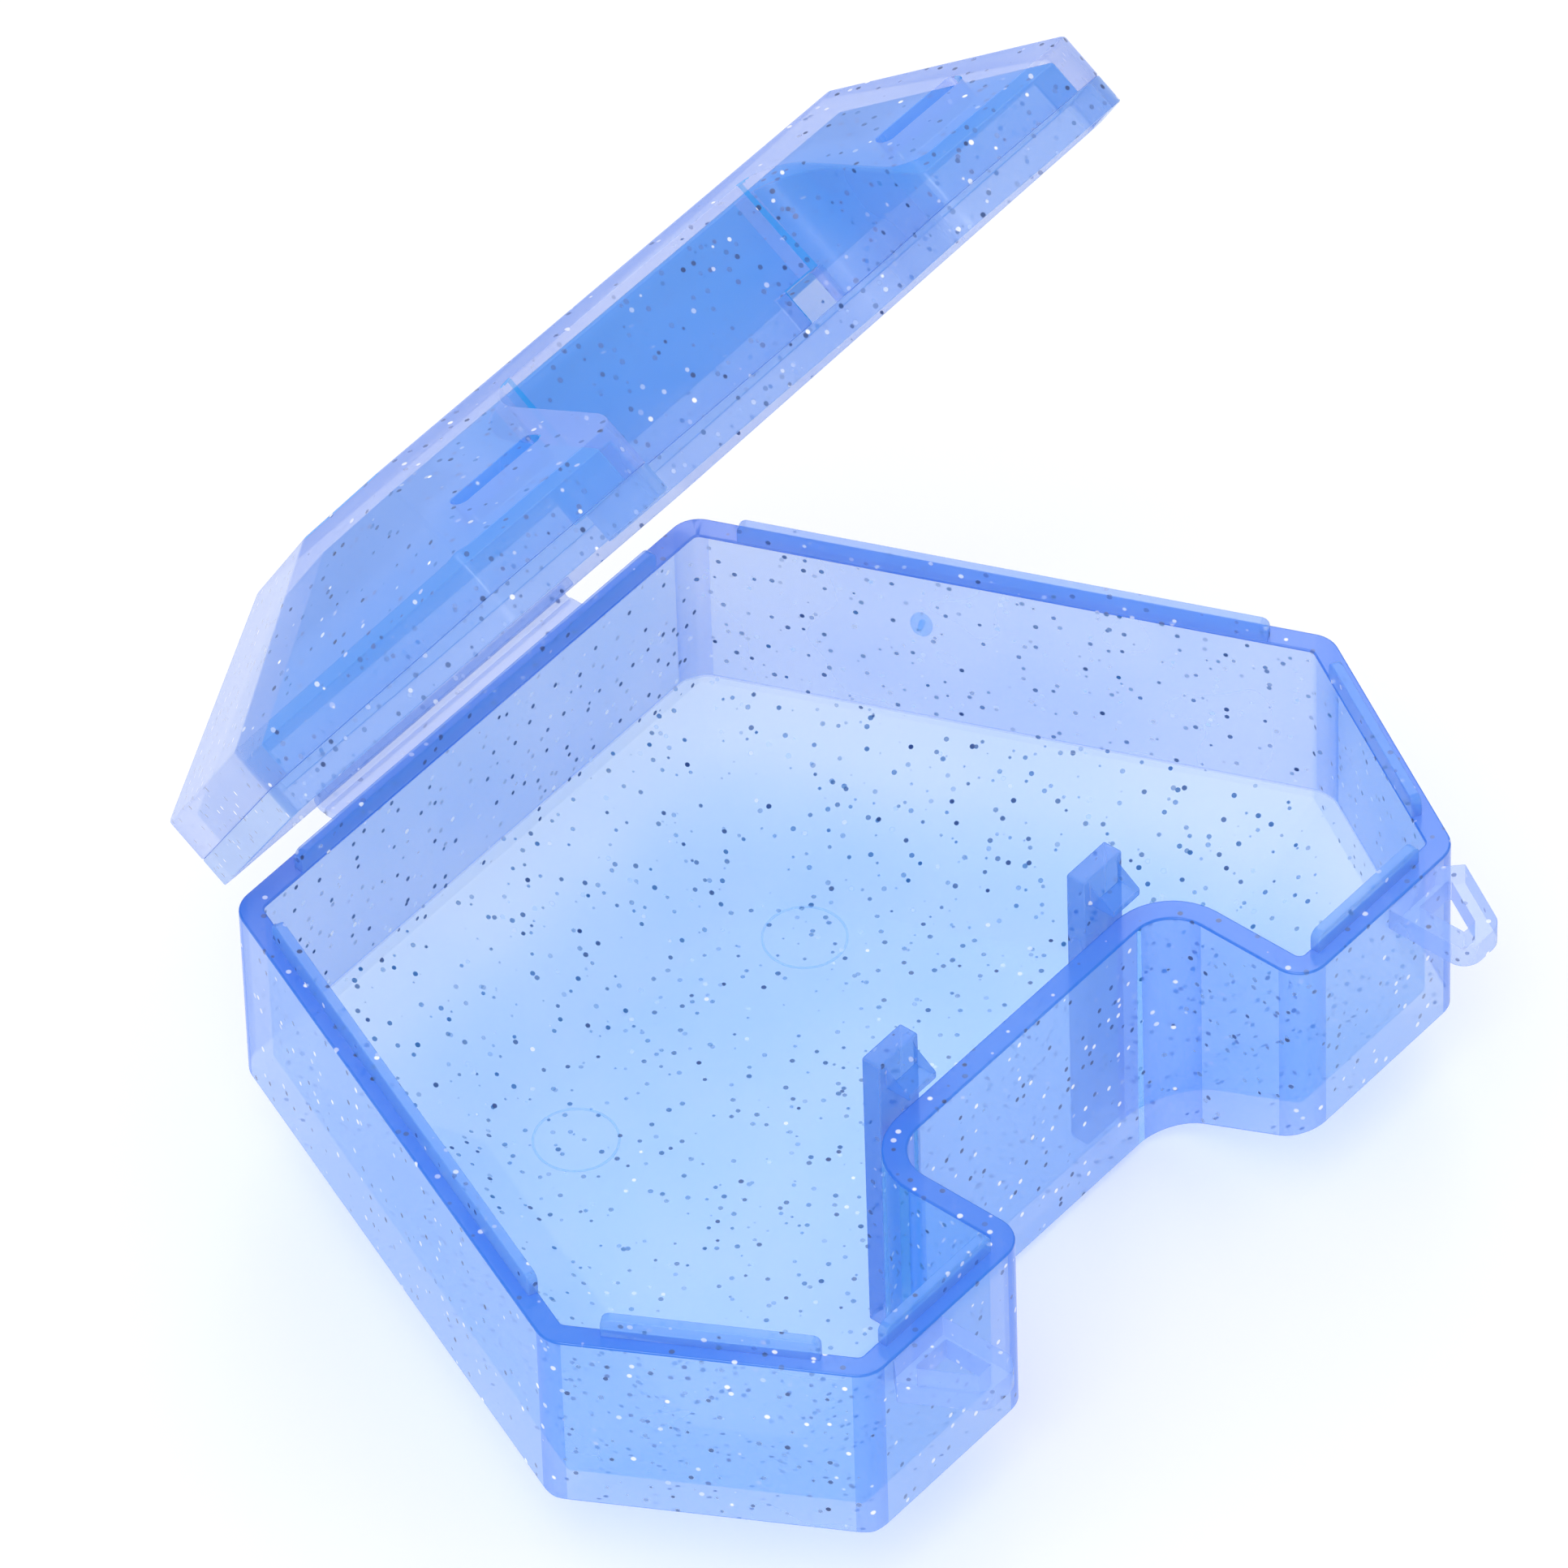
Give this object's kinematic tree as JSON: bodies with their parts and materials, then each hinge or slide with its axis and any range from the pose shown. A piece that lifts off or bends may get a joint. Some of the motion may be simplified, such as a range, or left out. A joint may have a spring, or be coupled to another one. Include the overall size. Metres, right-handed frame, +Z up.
{
  "type": "retainer case",
  "caption": "Small hinged case with a bevelled tray and lid, a notched front, two spring catches, rim lips, vent slots and two lanyard loops.",
  "frame": {"origin": "middle of the flat bottom face the tray stands on", "axes": "+Z up, +X along the hinge to the right as seen from the front, +Y towards the hinge at the rear, the thumb notch at -Y"},
  "size_m": [0.0816, 0.0719, 0.0753],
  "materials": {
    "tray_plastic": "translucent blue polypropylene with silver glitter",
    "lid_plastic": "translucent blue polypropylene with silver glitter",
    "lip_plastic": "translucent blue polypropylene",
    "loop_plastic": "translucent pale blue polypropylene",
    "hinge_plastic": "thin pale polypropylene",
    "hook_plastic": "translucent blue polypropylene"
  },
  "bodies": {
    "tray": {"base_tray": "tray_plastic", "rear_lip": "lip_plastic", "right_side_lip": "lip_plastic", "right_chamfer_lip": "lip_plastic", "right_front_lip": "lip_plastic", "left_front_lip": "lip_plastic", "left_chamfer_lip": "lip_plastic", "left_side_lip": "lip_plastic", "left_lanyard_loop": "loop_plastic", "right_lanyard_loop": "loop_plastic", "tray_hinge_leaf": "hinge_plastic", "living_hinge": "hinge_plastic", "left_hook_foot": "hook_plastic", "right_hook_foot": "hook_plastic"},
    "lid": {"lid_shell": "lid_plastic", "lid_skirt": "lid_plastic", "lid_hinge_leaf": "hinge_plastic"},
    "left_catch": {"left_latch_hook": "hook_plastic"},
    "right_catch": {"right_latch_hook": "hook_plastic"}
  },
  "joints": [
    {"name": "lid_hinge", "type": "hinge", "parent": "tray", "child": "lid", "pos_m": [0, 0.0313, 0.02115], "axis": [1, 0, 0], "range_deg": [-123.6, 56.4], "stiffness_Nm_per_rad": 0.058, "deforming": ["living_hinge"]},
    {"name": "left_catch_flex", "type": "hinge", "parent": "tray", "child": "left_catch", "pos_m": [-0.0106, -0.01545, 0.00465], "axis": [-1, 0, 0], "range_deg": [0, 8], "stiffness_Nm_per_rad": 0.24},
    {"name": "right_catch_flex", "type": "hinge", "parent": "tray", "child": "right_catch", "pos_m": [0.0106, -0.01545, 0.00465], "axis": [-1, 0, 0], "range_deg": [0, 8], "stiffness_Nm_per_rad": 0.24}
  ]
}
